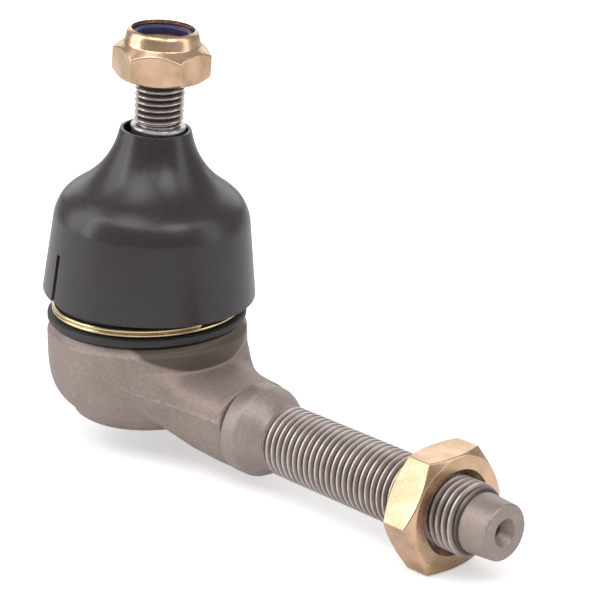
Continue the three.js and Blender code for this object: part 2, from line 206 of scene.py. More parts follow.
def spun(name, points, steps=96, closed=True, along_x=False):
    """A turned solid from [radius, height(, rounding)] points in millimetres, spun about Z or X."""
    outline = rounded(points, closed)
    count = len(outline)
    vertices = [(p[1], 0, p[0]) if along_x else (p[0], 0, p[1]) for p in outline]
    edges = [(i, (i + 1) % count) for i in range(count if closed else count - 1)]
    piece = new_mesh(name, [Vector(v) * MM for v in vertices], edges)
    bpy.ops.object.mode_set(mode="EDIT")
    bpy.ops.mesh.select_all(action="SELECT")
    axis = (1, 0, 0) if along_x else (0, 0, 1)
    bpy.ops.mesh.spin(steps=steps, angle=2 * math.pi, center=(0, 0, 0), axis=axis)
    bpy.ops.mesh.select_all(action="SELECT")
    bpy.ops.mesh.remove_doubles(threshold=2e-6)
    bpy.ops.mesh.normals_make_consistent(inside=False)
    bpy.ops.object.mode_set(mode="OBJECT")
    return piece


def wrapped(name, columns, rows, place):
    """A grid of quads laid on place(column share, row share), in millimetres, its seam and ends closed."""
    deselect()
    bpy.ops.mesh.primitive_grid_add(x_subdivisions=columns, y_subdivisions=rows, size=1, location=(0, 0, 0))
    piece = bpy.context.active_object
    piece.name = name
    for vertex in piece.data.vertices:
        vertex.co = Vector(place(vertex.co.x + 0.5, vertex.co.y + 0.5)) * MM
    bpy.ops.object.mode_set(mode="EDIT")
    bpy.ops.mesh.select_all(action="SELECT")
    bpy.ops.mesh.remove_doubles(threshold=2e-6)
    bpy.ops.mesh.select_all(action="SELECT")
    bpy.ops.mesh.fill_holes(sides=0)
    bpy.ops.mesh.normals_make_consistent(inside=False)
    bpy.ops.object.mode_set(mode="OBJECT")
    return piece


def apply_modifier(piece, kind, **settings):
    activate(piece)
    modifier = piece.modifiers.new(kind.lower(), kind)
    for key, value in settings.items():
        setattr(modifier, key, value)
    bpy.ops.object.modifier_apply(modifier=modifier.name)


def join(pieces, name):
    activate(pieces[0])
    for piece in pieces:
        piece.select_set(True)
    bpy.ops.object.join()
    pieces[0].name = name
    return pieces[0]


def cut(piece, tool, operation="DIFFERENCE"):
    apply_modifier(piece, "BOOLEAN", operation=operation, object=tool, solver="EXACT")
    bpy.data.objects.remove(tool)


def place_at(piece, location, axis=(0, 0, 1)):
    """Moves a piece modelled about the origin to its place, with its +Z along axis, in the mesh itself."""
    turn = Vector((0, 0, 1)).rotation_difference(Vector(axis)).to_matrix().to_4x4()
    piece.data.transform(Matrix.Translation(Vector(location)) @ turn)
    piece.data.update()


def finish_piece(piece, body, material, angle=40, replaces=()):
    """Smooth shading, material and body for a finished piece; the parts it replaces are hidden."""
    activate(piece)
    bpy.ops.object.shade_smooth_by_angle(angle=math.radians(angle))
    piece.data.materials.clear()
    piece.data.materials.append(material)
    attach(piece, body)
    if replaces:
        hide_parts(*replaces)


housing_low, housing_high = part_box("housing")
jam_low, jam_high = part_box("jam_nut")
axis_height = (jam_low[2] + jam_high[2]) / 2 / MM
socket_radius = -housing_low[0] / MM
shank_tip = housing_high[0] / MM
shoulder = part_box("dust_boot")[0][2] / MM - 0.3
neck_radius, neck_top, groove_edge = 16.2, 24, 16.8
bore_radius, bore_top = 13.7, 21.6
mouth_radius = 12.0
cover_seat, lip_foot = 15.4, 0.75
arm_start, arm_end, arm_half_height = 4, 32.5, 8.6
flash_above_axis, flash_rise, flash_fade = 2.6, 9.6, 8.6
flash_width = 0.35


def smooth_step(value, low, high):
    t = min(1, max(0, (value - low) / (high - low)))
    return t * t * (3 - 2 * t)


def arm_half_width(x):
    """Half the arm's width in plan: a wide web from the socket's sides that narrows to the collar."""
    stations = [(4, 19.3), (8, 18.2), (11, 16.8), (14, 15.1), (17, 13.2), (20, 11.5), (23, 10.4), (26, 9.7),
                (29, 9.2), (33, 8.8)]
    for (x1, w1), (x2, w2) in zip(stations, stations[1:]):
        if x <= x2:
            return w1 + (w2 - w1) * (x - x1) / (x2 - x1)
    return stations[-1][1]


def arm_crown(x):
    """Height of the arm's top: a ramp from the socket's shoulder down to the round of the arm."""
    return axis_height + arm_half_height + 5.5 * (1 - smooth_step(x, 11, 21.5))


def arm_point(turn, share):
    """The arm's skin at an angle about its axis: full flanks that meet in a thin ridge at the flash line."""
    x = arm_start + (arm_end - arm_start) * share
    angle = 2 * math.pi * turn
    across, up = math.cos(angle), math.sin(angle)
    flash_height = axis_height + flash_above_axis + flash_rise * math.exp(-(x - arm_start) / flash_fade)
    bottom = (axis_height - arm_half_height + 4 * (1 - smooth_step(x, 12, 22))
              + 7 * (1 - smooth_step(x, arm_start, 13)))
    end = arm_crown(x) if up > 0 else bottom
    # the die's draft leaves the lower flanks steep and nearly flat; the upper ones round over sooner
    drawn_in = 1 - smooth_step(x, 18, 30)
    boxy = 1 - smooth_step(x, 15, 26)
    side, rise = (0.86 - 0.66 * boxy, 0.90) if up > 0 else (0.78 + 0.4 * drawn_in, 0.85 + 0.12 * drawn_in)
    y = arm_half_width(x) * abs(across) ** side + flash_width * math.exp(-(up / 0.045) ** 2)
    z = flash_height + (end - flash_height) * abs(up) ** rise
    return x, math.copysign(y, across), z


socket_body = spun("socket_body", [
    (0, 3.2), (cover_seat, 3.2), (cover_seat, 1.6), (cover_seat + 0.5, 2.0, 0.2), (17.9, 3.8, 1.2),
    (19.3, 6.0, 1.2), (20.05, 8.6, 2), (socket_radius, 11.5, 2), (socket_radius, shoulder - 1.6, 0.2),
    (socket_radius - 0.9, shoulder - 0.9, 0.3), (socket_radius - 1, shoulder, 0.2),
    (neck_radius, shoulder + 0.4), (neck_radius, neck_top - 1.6), (groove_edge, neck_top - 1.2, 0.3),
    (groove_edge, neck_top - 0.5, 0.3),
    (neck_radius, neck_top, 0.3), (0, neck_top)], steps=160, closed=False)
arm_body = wrapped("arm_body", 120, 60, arm_point)
cover_tool = spun("cover_tool", [
    (0, -20), (17.4, -20), (17.4, 0.6), (cover_seat, lip_foot), (cover_seat, 3.2), (0, 3.2)],
    steps=128, closed=False)
cut(arm_body, cover_tool)
forging = join([socket_body, arm_body], "housing_forging")
apply_modifier(forging, "REMESH", mode="VOXEL", voxel_size=0.30 * MM)
apply_modifier(forging, "SMOOTH", factor=0.5, iterations=5)
bore_tool = spun("bore_tool", [
    (0, 2.9), (15.6, 2.9), (15.6, 3.1), (bore_radius, 3.1), (bore_radius, bore_top), (10.4, bore_top),
    (mouth_radius, 24.05), (mouth_radius, 30), (0, 30)], steps=128, closed=False)
cut(forging, bore_tool)


# the metals, rubber and plastics share a few shader effects, each with its own values
def new_group(name, inputs, outputs):
    """An empty shader node group with named value sockets."""
    group = bpy.data.node_groups.new(name, "ShaderNodeTree")
    for socket_name, kind, value in inputs:
        socket = group.interface.new_socket(socket_name, in_out="INPUT", socket_type=kind)
        socket.default_value = value
    for socket_name, kind in outputs:
        group.interface.new_socket(socket_name, in_out="OUTPUT", socket_type=kind)
    return group, group.nodes.new("NodeGroupInput"), group.nodes.new("NodeGroupOutput")


def add_math(nodes, links, operation, first, second=None, third=None):
    """A math node fed by sockets or numbers; returns its output."""
    node = nodes.new("ShaderNodeMath")
    node.operation = operation
    for socket, value in zip(node.inputs, (first, second, third)):
        if value is None:
            continue
        if isinstance(value, (int, float)):
            socket.default_value = value
        else:
            links.new(value, socket)
    return node.outputs[0]


def add_noise(nodes, links, vector, scale, detail=4.0, roughness=0.55):
    """A noise texture on vector; scale is a number or a socket."""
    noise = nodes.new("ShaderNodeTexNoise")
    noise.inputs["Detail"].default_value = detail
    noise.inputs["Roughness"].default_value = roughness
    links.new(vector, noise.inputs["Vector"])
    if isinstance(scale, (int, float)):
        noise.inputs["Scale"].default_value = scale
    else:
        links.new(scale, noise.inputs["Scale"])
    return noise.outputs["Fac"]


def add_range(nodes, links, value, low, high, to_low=0.0, to_high=1.0):
    """A clamped map range from low..high."""
    node = nodes.new("ShaderNodeMapRange")
    links.new(value, node.inputs["Value"])
    for name, number in (("From Min", low), ("From Max", high), ("To Min", to_low), ("To Max", to_high)):
        if isinstance(number, (int, float)):
            node.inputs[name].default_value = number
        else:
            links.new(number, node.inputs[name])
    return node.outputs["Result"]


def add_mix(nodes, links, factor, first, second):
    """A colour mix; each of the three may be a socket or a value."""
    node = nodes.new("ShaderNodeMix")
    node.data_type = "RGBA"
    for index, value in ((0, factor), (6, first), (7, second)):
        socket = node.inputs[index]
        if hasattr(value, "links"):
            links.new(value, socket)
        else:
            socket.default_value = value
    return node.outputs[2]


def make_mottle():
    """Blotches of three sizes: the uneven tone, shine and skin of a handled surface."""
    group, given, result = new_group("mottle", [
        ("Light", "NodeSocketColor", (0.5, 0.5, 0.5, 1)), ("Dark", "NodeSocketColor", (0.3, 0.3, 0.3, 1)),
        ("Grain Scale", "NodeSocketFloat", 900.0), ("Patch Scale", "NodeSocketFloat", 90.0),
        ("Shine", "NodeSocketFloat", 0.4), ("Shine Spread", "NodeSocketFloat", 0.1),
    ], [("Color", "NodeSocketColor"), ("Roughness", "NodeSocketFloat"), ("Height", "NodeSocketFloat")])
    nodes, links = group.nodes, group.links
    place = nodes.new("ShaderNodeTexCoord").outputs["Object"]
    grain = add_noise(nodes, links, place, given.outputs["Grain Scale"], 5.0, 0.6)
    patch = add_noise(nodes, links, place, given.outputs["Patch Scale"], 4.0, 0.6)
    blend = add_math(nodes, links, "MULTIPLY_ADD", grain, 0.55,
                     add_math(nodes, links, "MULTIPLY", patch, 0.45))
    tone = add_range(nodes, links, blend, 0.36, 0.64)
    colour = add_mix(nodes, links, tone, given.outputs["Dark"], given.outputs["Light"])
    links.new(colour, result.inputs["Color"])
    spread = add_math(nodes, links, "MULTIPLY", add_math(nodes, links, "SUBTRACT", patch, 0.5),
                      given.outputs["Shine Spread"])
    fine = add_math(nodes, links, "MULTIPLY", add_math(nodes, links, "SUBTRACT", grain, 0.5), 0.12)
    total = add_math(nodes, links, "ADD", add_math(nodes, links, "ADD", given.outputs["Shine"], spread), fine)
    links.new(total, result.inputs["Roughness"])
    links.new(grain, result.inputs["Height"])
    return group


def make_flecks():
    """Scattered bright flecks and short scratches, where scale and handling have rubbed the skin off."""
    group, given, result = new_group("flecks", [
        ("Scale", "NodeSocketFloat", 700.0), ("Amount", "NodeSocketFloat", 0.3),
    ], [("Mask", "NodeSocketFloat")])
    nodes, links = group.nodes, group.links
    place = nodes.new("ShaderNodeTexCoord").outputs["Object"]
    spot = add_noise(nodes, links, place, given.outputs["Scale"], 2.0, 0.5)
    cluster = add_noise(nodes, links, place, 120.0, 3.0, 0.6)
    threshold = add_range(nodes, links, cluster, 0.4, 0.75, 0.78, 0.62)
    near = add_math(nodes, links, "SUBTRACT", spot, threshold)
    sharp = add_range(nodes, links, near, 0.0, 0.05)
    links.new(add_math(nodes, links, "MULTIPLY", sharp, given.outputs["Amount"]), result.inputs["Mask"])
    return group


def make_edge_wear():
    """Lighter along convex edges and darker in hollows, read from the mesh's own shape."""
    group, given, result = new_group("edge_wear", [
        ("Edge", "NodeSocketFloat", 0.5), ("Hollow", "NodeSocketFloat", 0.5),
    ], [("Edge Mask", "NodeSocketFloat"), ("Hollow Mask", "NodeSocketFloat")])
    nodes, links = group.nodes, group.links
    point = nodes.new("ShaderNodeNewGeometry").outputs["Pointiness"]
    place = nodes.new("ShaderNodeTexCoord").outputs["Object"]
    broken = add_range(nodes, links, add_noise(nodes, links, place, 500.0, 4.0, 0.6), 0.3, 0.7, 0.4, 1.0)
    edge = add_math(nodes, links, "MULTIPLY", add_range(nodes, links, point, 0.51, 0.60), broken)
    hollow = add_range(nodes, links, point, 0.49, 0.42)
    links.new(add_math(nodes, links, "MULTIPLY", edge, given.outputs["Edge"]), result.inputs["Edge Mask"])
    links.new(add_math(nodes, links, "MULTIPLY", hollow, given.outputs["Hollow"]),
              result.inputs["Hollow Mask"])
    return group


effects = {"mottle": make_mottle(), "flecks": make_flecks(), "wear": make_edge_wear()}


def add_effect(nodes, name, **values):
    """One of the shared effects, placed in a material with its own values."""
    node = nodes.new("ShaderNodeGroup")
    node.node_tree = effects[name]
    for socket, value in values.items():
        node.inputs[socket.replace("_", " ")].default_value = value
    return node


def new_material(name, metallic, light, dark, grain, patch, shine, spread, bump, edge=None, edge_share=0.0,
                 hollow=None, hollow_share=0.0, turning=None, turning_x=0.0, **fixed):
    """A mottled Principled material with optional worn edges, dirty hollows and lathe rings.
    Returns the material, its surface shader, and the sockets of its colour and roughness for more detail."""
    material = bpy.data.materials.new(name)
    material.use_nodes = True
    nodes, links = material.node_tree.nodes, material.node_tree.links
    surface = nodes["Principled BSDF"]
    surface.inputs["Metallic"].default_value = metallic
    for socket, value in fixed.items():
        surface.inputs[socket.replace("_", " ")].default_value = value
    mottle = add_effect(nodes, "mottle", Light=(*light, 1), Dark=(*dark, 1), Grain_Scale=grain,
                        Patch_Scale=patch, Shine=shine, Shine_Spread=spread)
    colour = mottle.outputs["Color"]
    height = mottle.outputs["Height"]
    wear = add_effect(nodes, "wear", Edge=edge_share, Hollow=hollow_share)
    if edge:
        colour = add_mix(nodes, links, wear.outputs["Edge Mask"], colour, (*edge, 1))
    if hollow:
        colour = add_mix(nodes, links, wear.outputs["Hollow Mask"], colour, (*hollow, 1))
    if turning:
        rings = add_effect(nodes, "turning", Along_X=turning_x, Scale=turning)
        height = add_math(nodes, links, "MULTIPLY_ADD", rings.outputs["Height"], 1.6, height)
        darker = add_mix(nodes, links, 0.35, colour, (*dark, 1))
        colour = add_mix(nodes, links, rings.outputs["Mask"], darker, colour)
    raised = nodes.new("ShaderNodeBump")
    raised.inputs["Strength"].default_value = bump
    raised.inputs["Distance"].default_value = 0.00012
    links.new(height, raised.inputs["Height"])
    links.new(raised.outputs["Normal"], surface.inputs["Normal"])
    links.new(mottle.outputs["Roughness"], surface.inputs["Roughness"])
    links.new(colour, surface.inputs["Base Color"])
    return material, surface, colour, mottle.outputs["Roughness"]


forged_steel, forged_surface, forged_colour = new_material(
    "forged_steel", 0.35, (0.385, 0.305, 0.275), (0.270, 0.211, 0.189), 1500, 110, 0.52, 0.22, 0.35,
    edge=(0.46, 0.42, 0.40), edge_share=0.35, hollow=(0.10, 0.075, 0.065), hollow_share=0.5)[:3]
nodes, links = forged_steel.node_tree.nodes, forged_steel.node_tree.links
flecks = add_effect(nodes, "flecks", Scale=1500.0, Amount=0.5)
# the flash line: brighter, rougher metal in a narrow broken band along the arm's side
where = nodes.new("ShaderNodeSeparateXYZ")
place = nodes.new("ShaderNodeTexCoord").outputs["Object"]
links.new(place, where.inputs[0])
fall = add_math(nodes, links, "POWER", math.e, add_math(nodes, links, "MULTIPLY", add_math(
    nodes, links, "SUBTRACT", where.outputs["X"], arm_start * MM), -1 / (flash_fade * MM)))
line_height = add_math(
    nodes, links, "MULTIPLY_ADD", fall, flash_rise * MM, (axis_height + flash_above_axis) * MM)
line_distance = add_math(
    nodes, links, "ABSOLUTE", add_math(nodes, links, "SUBTRACT", where.outputs["Z"], line_height))
wobble = add_noise(nodes, links, place, 900.0, 3.0, 0.7)
ragged = add_math(nodes, links, "MULTIPLY_ADD", wobble, -0.0016, line_distance)
flash = add_math(nodes, links, "MULTIPLY", add_range(nodes, links, ragged, -0.00065, -0.00095),
                 add_range(nodes, links, where.outputs["X"], 0.002, 0.009))
fleck_or_flash = add_math(nodes, links, "MAXIMUM", flecks.outputs["Mask"],
                          add_math(nodes, links, "MULTIPLY", flash, 0.5))
forged_base = add_mix(nodes, links, fleck_or_flash, forged_colour, (0.56, 0.52, 0.50, 1))
# above the arm the socket is turned to size; between the web's two wings this smoother turned wall is painted
# much darker than the steel, as painted shade
level = nodes.new("ShaderNodeVectorMath")
level.operation = "MULTIPLY"
level.inputs[1].default_value = (1, 1, 0)
links.new(place, level.inputs[0])
length = nodes.new("ShaderNodeVectorMath")
length.operation = "LENGTH"
links.new(level.outputs["Vector"], length.inputs[0])
turned_wall_shade = add_math(nodes, links, "MULTIPLY", add_range(
    nodes, links, length.outputs["Value"], (socket_radius + 0.14) * MM, (socket_radius + 0.02) * MM),
    add_range(nodes, links, where.outputs["X"], 0.0110, 0.0125))
# the painted shade stops at the wings' upper edge, which falls from the socket's shoulder to the arm's crown
wing_slope, wing_edge_low, wing_edge_high = 0.71, 27.9 * MM, 28.5 * MM
wing_edge = add_math(nodes, links, "MULTIPLY_ADD", where.outputs["X"], wing_slope, where.outputs["Z"])
turned_wall_shade = add_math(
    nodes, links, "MULTIPLY", turned_wall_shade, add_range(nodes, links, wing_edge, wing_edge_low, wing_edge_high))
# the dark brown mixed in here is painted shade on the turned wall, not the steel's own colour
links.new(add_mix(nodes, links, turned_wall_shade, forged_base, (0.115, 0.088, 0.072, 1)),
          forged_surface.inputs["Base Color"])
finish_piece(forging, "root", forged_steel, angle=50, replaces=["housing"])
lip = spun("housing_rolled_lip", [
    (bore_radius, lip_foot, 0.2), (bore_radius, 0.1, 0.25), (14.6, 0.1, 0.4), (cover_seat + 0.55, 1.9, 0.6),
    (cover_seat + 0.8, 2.6), (cover_seat, 2.6), (cover_seat, lip_foot + 0.05)], steps=160)
finish_piece(lip, "root", forged_steel, angle=50)


# ---- Shank: collar, thread and pilot ----
# The forging's arm is turned to a collar, then the shank is rolled with an M14 x 1.5 right-hand thread.
# It ends in a plain pilot with a centre-drilled face; the whole shank is lightly oiled bare steel.
collar_start, collar_end, collar_radius = arm_end + 0.25, 36.2, 9.1
thread_radius, thread_pitch, thread_depth = 6.95, 1.5, 0.92
thread_start, thread_end = 41.0, 93.0
thread_root = thread_radius - thread_depth


def raise_to_axis(piece):
    piece.data.transform(Matrix.Translation((0, 0, axis_height * MM)))


collar = spun("shank_collar", [
    (0, collar_start - 2), (8.1, collar_start - 2), (8.1, collar_start), (collar_radius, collar_start, 0.2),
    (collar_radius, collar_end, 0.5), (collar_radius - 0.9, collar_end + 1.9, 0.8),
    (thread_root + 0.5, thread_start - 0.6, 0.6), (thread_root, thread_start + 0.6), (0, thread_start + 0.6)],
    steps=128, closed=False, along_x=True)
pilot = spun("shank_pilot", [
    (0, thread_end - 0.8), (5.75, thread_end - 0.8), (5.75, thread_end + 0.6, 0.4),
    (5.4, shank_tip - 0.35, 0.15), (5.1, shank_tip, 0.12), (2.7, shank_tip, 0.12),
    (1.25, shank_tip - 2.3, 0.1), (1.25, shank_tip - 4.6),
    (0, shank_tip - 5.2)], steps=96, closed=False, along_x=True)


def thread_profile(share):
    """Height of a rolled thread's flank, from 0 at the root to 1 at the crest, over one pitch."""
    rise, crest, fall = 0.36, 0.56, 0.92
    if share < rise:
        flank = share / rise
    elif share < crest:
        return 1.0
    elif share < fall:
        flank = 1 - (share - crest) / (fall - crest)
    else:
        return 0.0
    return smooth_step(flank, 0, 1) * 0.35 + flank * 0.65


def threaded(name, radius, pitch, depth, start, end, run_in, run_out, columns=96, steps=12):
    """An external right-hand thread about +X, fading to its root at both ends over run_in and run_out."""
    turns = math.ceil((end - start) / pitch) + 1

    def point(turn, share):
        raw = start + pitch * (turns * share + turn - 1)
        x = min(end, max(start, raw))
        crest = min(1, (x - start) / run_in, (end - x) / run_out)
        share_of_pitch = (turns * share) % 1.0
        r = radius - depth + depth * min(thread_profile(share_of_pitch), max(0, crest))
        angle = 2 * math.pi * turn
        return x, -r * math.sin(angle), r * math.cos(angle)

    piece = wrapped(name, columns, turns * steps, point)
    crest = piece.data.attributes.new("crest", "FLOAT", "POINT")
    for vertex, value in zip(piece.data.vertices, crest.data):
        value.value = (math.hypot(vertex.co.y, vertex.co.z) / MM - radius + depth) / depth
    return piece


def thread_finish(material, surface, colour, shine, valley, crest_colour):
    """Dark oil in a thread's valleys and bright metal on its crests, from the height on the flank."""
    nodes, links = material.node_tree.nodes, material.node_tree.links
    height = nodes.new("ShaderNodeAttribute")
    height.attribute_name = "crest"
    broken = add_noise(nodes, links, nodes.new("ShaderNodeTexCoord").outputs["Object"], 420.0, 4.0, 0.65)
    worn = add_math(nodes, links, "MULTIPLY", add_range(nodes, links, height.outputs["Fac"], 0.80, 0.98),
                    add_range(nodes, links, broken, 0.3, 0.62, 0.35, 1.0))
    oily = add_range(nodes, links, height.outputs["Fac"], 0.62, 0.12, 0.0, 0.9)
    flank = add_mix(nodes, links, oily, colour, (*valley, 1))
    links.new(add_mix(nodes, links, worn, flank, (*crest_colour, 1)), surface.inputs["Base Color"])
    rougher = add_math(nodes, links, "MULTIPLY_ADD", oily, 0.2, shine)
    links.new(rougher, surface.inputs["Roughness"])


shank_thread = threaded("shank_thread", thread_radius, thread_pitch, thread_depth, thread_start, thread_end,
                        1.6, 1.2)


def make_turning():
    """The fine rings that a lathe tool leaves, read along Z, or along X for the shank."""
    group, given, result = new_group("turning", [
        ("Along X", "NodeSocketFloat", 0.0), ("Scale", "NodeSocketFloat", 3200.0),
    ], [("Height", "NodeSocketFloat"), ("Mask", "NodeSocketFloat")])
    nodes, links = group.nodes, group.links
    place = nodes.new("ShaderNodeTexCoord").outputs["Object"]
    split = nodes.new("ShaderNodeSeparateXYZ")
    links.new(place, split.inputs[0])
    along = nodes.new("ShaderNodeMix")
    links.new(given.outputs["Along X"], along.inputs[0])
    links.new(split.outputs["Z"], along.inputs[2])
    links.new(split.outputs["X"], along.inputs[3])
    wander = add_noise(nodes, links, place, 260.0, 2.0, 0.5)
    bent = add_math(nodes, links, "MULTIPLY_ADD", wander, 0.0006, along.outputs[0])
    scaled = add_math(nodes, links, "MULTIPLY", bent, given.outputs["Scale"])
    rings = nodes.new("ShaderNodeTexNoise")
    rings.noise_dimensions = "1D"
    rings.inputs["Detail"].default_value = 2.0
    rings.inputs["Scale"].default_value = 1.0
    links.new(scaled, rings.inputs["W"])
    links.new(rings.outputs["Fac"], result.inputs["Height"])
    links.new(add_range(nodes, links, rings.outputs["Fac"], 0.35, 0.65), result.inputs["Mask"])
    return group


effects["turning"] = make_turning()

machined_steel = new_material(
    "machined_steel", 0.45, (0.43, 0.352, 0.325), (0.30, 0.24, 0.218), 1900, 160, 0.44, 0.2, 0.22,
    edge=(0.50, 0.46, 0.44), edge_share=0.3, hollow=(0.09, 0.07, 0.06), hollow_share=0.5,
    turning=2600.0, turning_x=1.0)[0]
thread_steel, *thread_sockets = new_material(
    "thread_steel", 0.65, (0.46, 0.385, 0.36), (0.32, 0.262, 0.24), 2600, 190, 0.34, 0.2, 0.15)
thread_finish(thread_steel, *thread_sockets, (0.075, 0.058, 0.052), (0.74, 0.69, 0.66))
for piece, material in ((collar, machined_steel), (pilot, machined_steel), (shank_thread, thread_steel)):
    raise_to_axis(piece)
    finish_piece(piece, "root", material, angle=38)


# ---- End cover, preload spring and seats ----
# A pressed steel plate closes the socket; a blued conical spring on it presses the lower seat against the
# ball. The two seats are greased off-white acetal. The CAD solids show their true shape.
cover_steel = new_material(
    "cover_steel", 0.8, (0.46, 0.44, 0.42), (0.32, 0.30, 0.28), 1700, 140, 0.42, 0.25, 0.2,
    edge=(0.62, 0.60, 0.58), edge_share=0.4, turning=1500.0)[0]
cover_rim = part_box("end_cover")[1][0] / MM
cover = spun("end_cover_plate", [
    (0, 0), (10.3, 0, 0.7), (11.7, 1.0, 0.7), (cover_rim, 1.0, 0.3), (cover_rim, 2.8, 0.3), (12.4, 2.8, 0.7),
    (11.1, 1.8, 0.7), (0, 1.8)], steps=128, closed=False)
finish_piece(cover, "root", cover_steel, replaces=["end_cover"])
spring_steel = new_material(
    "spring_steel", 0.85, (0.13, 0.14, 0.17), (0.07, 0.075, 0.09), 1500, 120, 0.32, 0.2, 0.12,
    edge=(0.4, 0.4, 0.42), edge_share=0.5)[0]
seat_plastic = new_material(
    "seat_plastic", 0.0, (0.74, 0.70, 0.58), (0.66, 0.62, 0.50), 1200, 90, 0.42, 0.15, 0.1,
    Subsurface_Weight=0.1)[0]
for node, material in (("preload_spring", spring_steel), ("lower_seat", seat_plastic),
                       ("upper_seat", seat_plastic)):
    solid = frame["nodes"][node]
    solid.data.materials.clear()
    solid.data.materials.append(material)


# ---- Ball stud ----
# Ball, neck, 1:8 taper, shoulder ring and M10 x 1.25 thread are one forging, ground and rolled.
# The stud is left leaning a few degrees in its seats.
joints = {joint["name"]: joint for joint in frame["record"]["behaviour"]["joints"]}
ball_centre = Vector(joints["stud_swing"]["pos_m"])
stud_axis = joints["stud_spin"]["axis"]
ball_radius, stud_neck, taper_radius = 11.0, 6.2, 7.0
neck_height = math.sqrt(ball_radius ** 2 - stud_neck ** 2)
ring_top = 45.1
stud_end = 60.7
stud_thread_radius, stud_pitch, stud_depth = 4.9, 1.25, 0.77
# the ball's arc runs from its ground flat to the neck
ball_flat, arc_steps = -0.95 * ball_radius, 40
ball_arc = []
for i in range(arc_steps + 1):
    height = ball_flat + (neck_height - ball_flat) * i / arc_steps
    ball_arc.append((math.sqrt(ball_radius ** 2 - height ** 2), height))
stud = spun("ball_stud_body", [
    (0, ball_flat), *ball_arc, (stud_neck, neck_height + 2.5, 1.2), (taper_radius, 16, 0.8),
    (taper_radius, 25.5, 0.3),
    (5.3, ring_top - 1.2, 0.1), (5.5, ring_top - 0.95, 0.15), (5.5, ring_top - 0.25, 0.2),
    (5.1, ring_top, 0.1),
    (4.15, ring_top, 0.1), (4.13, ring_top + 1.5), (0, ring_top + 1.5)], steps=128, closed=False)
stud_thread = threaded("ball_stud_thread", stud_thread_radius, stud_pitch, stud_depth,
                       ring_top + 0.2, stud_end, 0.7, 1.1, columns=80)
stud_thread.data.transform(Matrix.Rotation(-math.pi / 2, 4, "Y"))
ground_steel = new_material(
    "ground_steel", 0.92, (0.55, 0.53, 0.52), (0.45, 0.43, 0.42), 1400, 160, 0.25, 0.1, 0.06,
    edge=(0.8, 0.79, 0.78), edge_share=0.3, turning=1800.0)[0]
stud_thread_steel, *stud_sockets = new_material(
    "stud_thread_steel", 0.88, (0.42, 0.36, 0.345), (0.32, 0.27, 0.255), 1500, 220, 0.24, 0.12, 0.08)
thread_finish(stud_thread_steel, *stud_sockets, (0.06, 0.042, 0.036), (0.62, 0.57, 0.54))
for piece, material in ((stud, ground_steel), (stud_thread, stud_thread_steel)):
    place_at(piece, ball_centre, stud_axis)
    finish_piece(piece, "stud", material, angle=38)
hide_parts("ball_stud")


# ---- Dust boot and its rings ----
# A moulded black rubber boot: its bead sits on the socket's turned neck under a gold wire ring,
# and its lip holds the stud under a small steel ring. Its upper half leans and bends with the stud.
wire_low, wire_high = (Vector(corner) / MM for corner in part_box("boot_lower_ring"))
wire_radius = 0.45
ring_radius = wire_high.x - wire_radius
ring_height = wire_low.z + wire_radius
upper_ring_radius, upper_ring_wire, upper_ring_height = 9.35, 0.55, 38.5
bead_radius = 20.2
boot = spun("dust_boot_rubber", [
    (16.5, 20.2, 0.2), (19.2, shoulder + 0.35, 0.5), (bead_radius, shoulder + 0.6, 0.5),
    (bead_radius, ring_height - 0.75, 0.4), (ring_radius - 0.5, ring_height - 0.55, 0.15),
    (ring_radius - 0.6, ring_height + 1.4, 0.2), (18.9, ring_height + 1.75, 0.3), (19.2, 25.3, 1),
    (18.7, 27.2, 1), (17.2, 29.8, 1), (14.6, 32.6, 1), (11.8, 35, 1), (10.1, 36.6, 0.6),
    (8.55, 37.5, 0.3), (8.55, 39.5, 0.3),
    (9.6, 39.9, 0.3), (9.3, 40.9, 0.3), (7.25, 41.1, 0.3), (7.25, 36.4, 0.5), (10.4, 34.2, 1),
    (13.2, 31.6, 1),
    (15.8, 28.8, 1), (17.2, 26.6, 1), (17.2, 22.8, 0.4), (16.5, 22.3, 0.3)], steps=128)
lean_axis = Vector(joints["stud_swing"]["axis"])
lean = Vector((0, 0, 1)).angle(Vector(stud_axis))
for vertex in boot.data.vertices:
    share = smooth_step(vertex.co.z, 0.025, 0.036)
    turn = Matrix.Rotation(lean * share, 3, lean_axis)
    vertex.co = turn @ (vertex.co - ball_centre) + ball_centre
boot_rubber = new_material(
    "boot_rubber", 0.0, (0.034, 0.033, 0.034), (0.018, 0.0175, 0.018), 1600, 140, 0.55, 0.2, 0.3,
    edge=(0.09, 0.088, 0.085), edge_share=0.5, hollow=(0.06, 0.055, 0.05), hollow_share=0.2)[0]
activate(boot)
bpy.ops.object.shade_smooth_by_angle(angle=math.radians(50))
boot.data.materials.append(boot_rubber)
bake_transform(boot)
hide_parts("dust_boot")

gold_wire = new_material(
    "gold_wire", 1.0, (0.80, 0.66, 0.40), (0.66, 0.52, 0.28), 1800, 200, 0.2, 0.12, 0.08,
    edge=(0.95, 0.88, 0.7), edge_share=0.4)[0]
ring_turns = 1.54
ring_first_azimuth = math.radians(160)


def wire_point(around, along):
    """One wire wound one and a half times round the boot: the second turn climbs on to the first."""
    azimuth = ring_first_azimuth + 2 * math.pi * ring_turns * along
    climb = 1.9 * wire_radius * smooth_step(along, 0.43, 0.63)
    slack = 0.10 * math.sin(math.pi * along) ** 2 + 0.06 * smooth_step(along, 0.94, 1.0)
    angle = 2 * math.pi * around
    radius = ring_radius - 0.16 + slack + wire_radius * 0.97 * math.cos(angle)
    height = ring_height + climb + wire_radius * 0.97 * math.sin(angle)
    return radius * math.cos(azimuth), radius * math.sin(azimuth), height


lower_ring = wrapped("boot_ring_wire", 16, 360, wire_point)
finish_piece(lower_ring, "boot", gold_wire, angle=60, replaces=["boot_lower_ring"])


